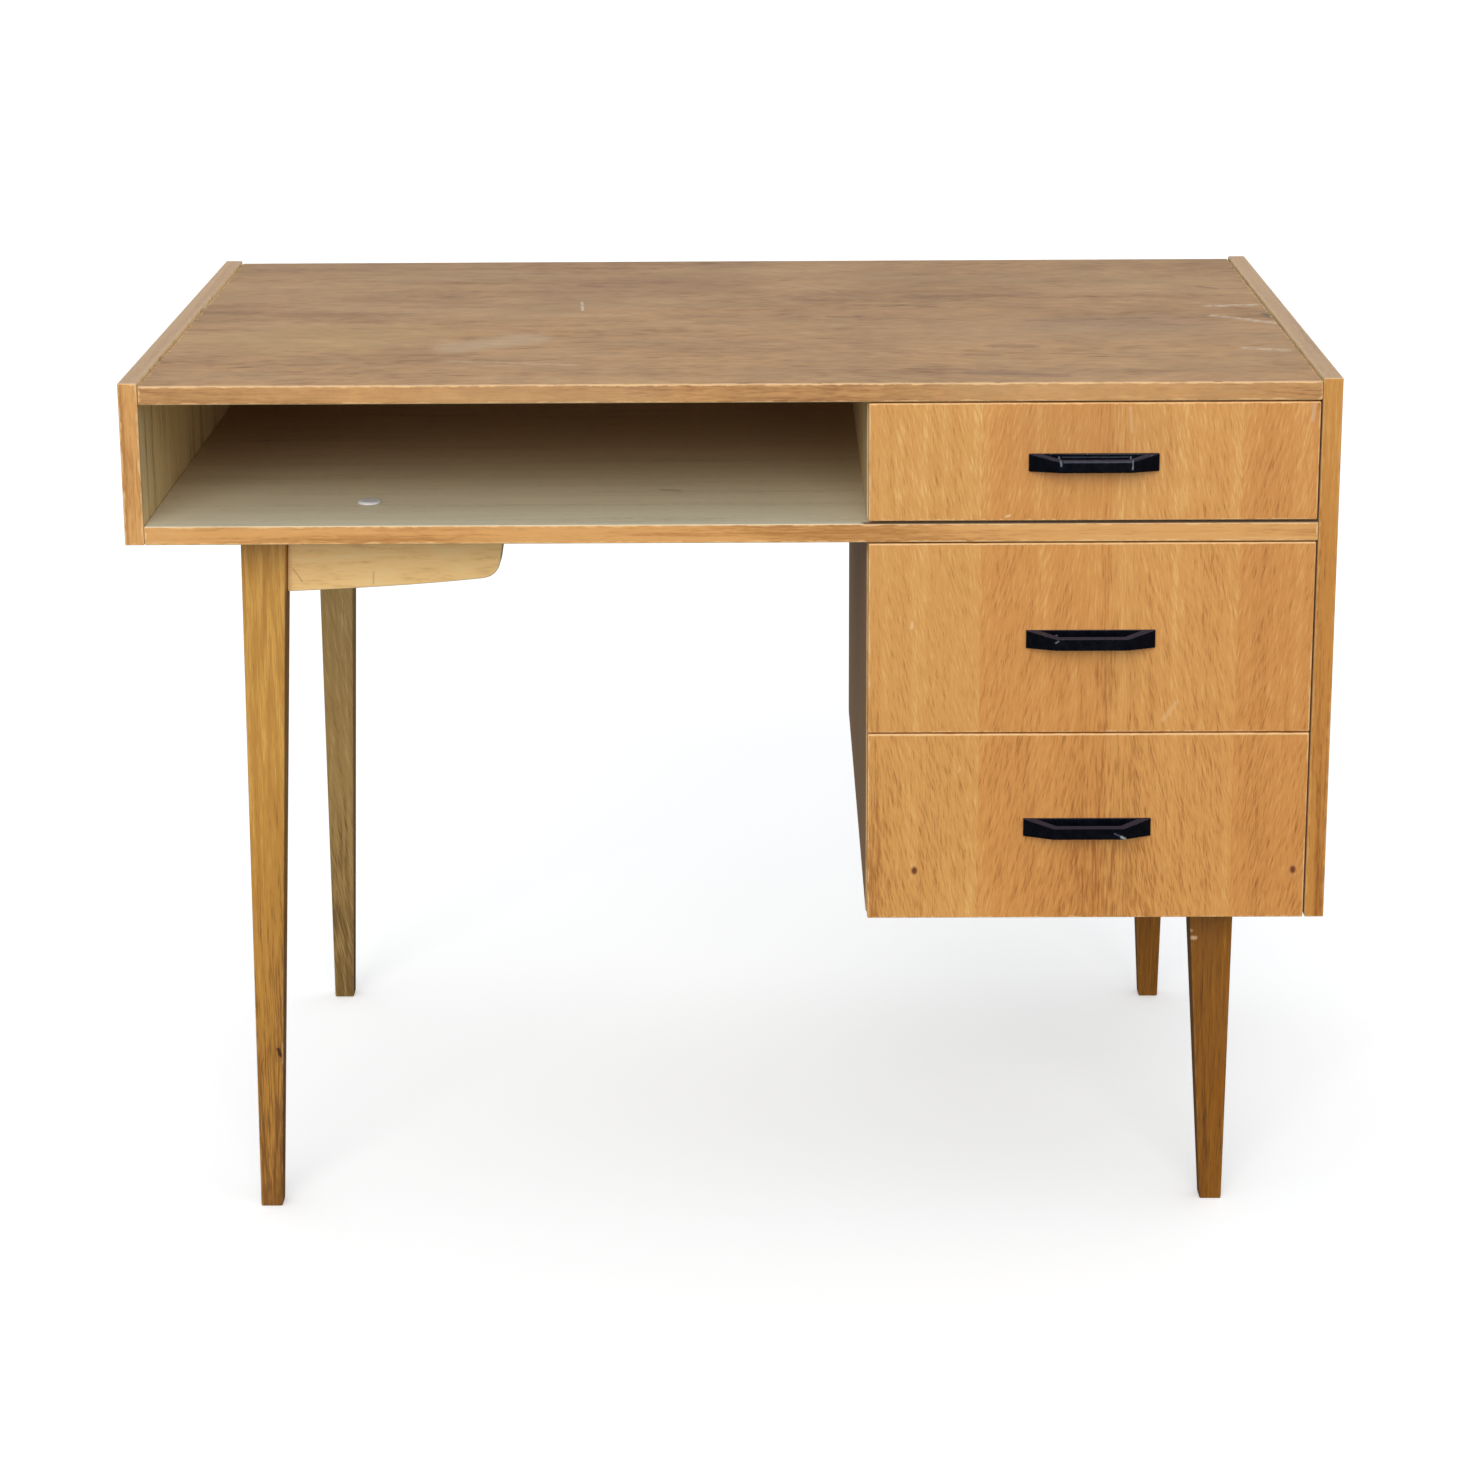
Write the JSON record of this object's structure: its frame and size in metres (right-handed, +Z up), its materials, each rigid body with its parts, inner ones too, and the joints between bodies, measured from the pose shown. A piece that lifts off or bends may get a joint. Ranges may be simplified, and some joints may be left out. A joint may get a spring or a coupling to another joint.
{
  "type": "writing desk with drawers",
  "caption": "Wooden writing desk with an open shelf under the top, a drawer pedestal at the right, black bow handles and slim tapered legs.",
  "frame": {"origin": "on the floor, under the centre of the whole desk's box, handles included", "axes": "+Z up; +X along the width, to the right of someone sitting at the desk, towards the drawer pedestal; -Y towards that person, the way the drawers open"},
  "size_m": [1, 0.6212, 0.75],
  "materials": {
    "oak_top": "faded oak veneer, grain along the width, thin worn satin varnish with stains and lighter worn edges",
    "oak_veneer": "honey-coloured oak veneer under satin varnish",
    "oak_front": "honey-coloured oak veneer in matched leaves, vertical grain, satin varnish, lighter eased edges",
    "pale_lining": "pale grey-beige veneer lining, matte",
    "solid_oak": "solid oak, golden brown, satin varnish, straight grain along the leg",
    "pale_wood": "pale solid wood, thin clear varnish",
    "box_wood": "bare pale solid wood",
    "plywood": "unvarnished thin plywood",
    "black_lacquer": "glossy black lacquer with small bright nicks on the edges",
    "steel": "zinc-plated steel",
    "white_plastic": "white plastic"
  },
  "bodies": {
    "carcass": {"desk_top": "oak_top", "left_side_panel": "oak_veneer", "right_side_panel": "oak_veneer", "mid_board": "oak_veneer", "divider_panel": "pale_lining", "pedestal_left_panel": "oak_veneer", "pedestal_bottom_panel": "oak_veneer", "upper_back_panel": "plywood", "pedestal_back_panel": "plywood", "front_left_leg": "solid_oak", "front_left_brace": "pale_wood", "front_left_brace_bolt": "steel", "front_left_bolt_cap": "white_plastic", "rear_left_leg": "solid_oak", "rear_left_brace": "pale_wood", "rear_left_brace_bolt": "steel", "rear_left_bolt_cap": "white_plastic", "front_right_leg": "solid_oak", "front_right_leg_plate": "steel", "front_right_hanger_bolt": "steel", "rear_right_leg": "solid_oak", "rear_right_leg_plate": "steel", "rear_right_hanger_bolt": "steel", "top_left_runner": "box_wood", "top_right_runner": "box_wood", "middle_left_runner": "box_wood", "middle_right_runner": "box_wood", "bottom_left_runner": "box_wood", "bottom_right_runner": "box_wood"},
    "top_drawer": {"top_drawer_front": "oak_front", "top_drawer_left_side": "box_wood", "top_drawer_right_side": "box_wood", "top_drawer_back": "box_wood", "top_drawer_bottom": "plywood", "top_drawer_handle": "black_lacquer", "top_handle_screw_left": "steel", "top_handle_screw_right": "steel"},
    "middle_drawer": {"middle_drawer_front": "oak_front", "middle_drawer_left_side": "box_wood", "middle_drawer_right_side": "box_wood", "middle_drawer_back": "box_wood", "middle_drawer_bottom": "plywood", "middle_drawer_handle": "black_lacquer", "middle_handle_screw_left": "steel", "middle_handle_screw_right": "steel"},
    "bottom_drawer": {"bottom_drawer_front": "oak_front", "bottom_drawer_left_side": "box_wood", "bottom_drawer_right_side": "box_wood", "bottom_drawer_back": "box_wood", "bottom_drawer_bottom": "plywood", "bottom_drawer_handle": "black_lacquer", "bottom_handle_screw_left": "steel", "bottom_handle_screw_right": "steel"}
  },
  "joints": [
    {"name": "top_drawer_slide", "type": "slide", "parent": "carcass", "child": "top_drawer", "axis": [0, -1, 0], "range_m": [0, 0.4]},
    {"name": "middle_drawer_slide", "type": "slide", "parent": "carcass", "child": "middle_drawer", "axis": [0, -1, 0], "range_m": [0, 0.4]},
    {"name": "bottom_drawer_slide", "type": "slide", "parent": "carcass", "child": "bottom_drawer", "axis": [0, -1, 0], "range_m": [0, 0.4]}
  ]
}
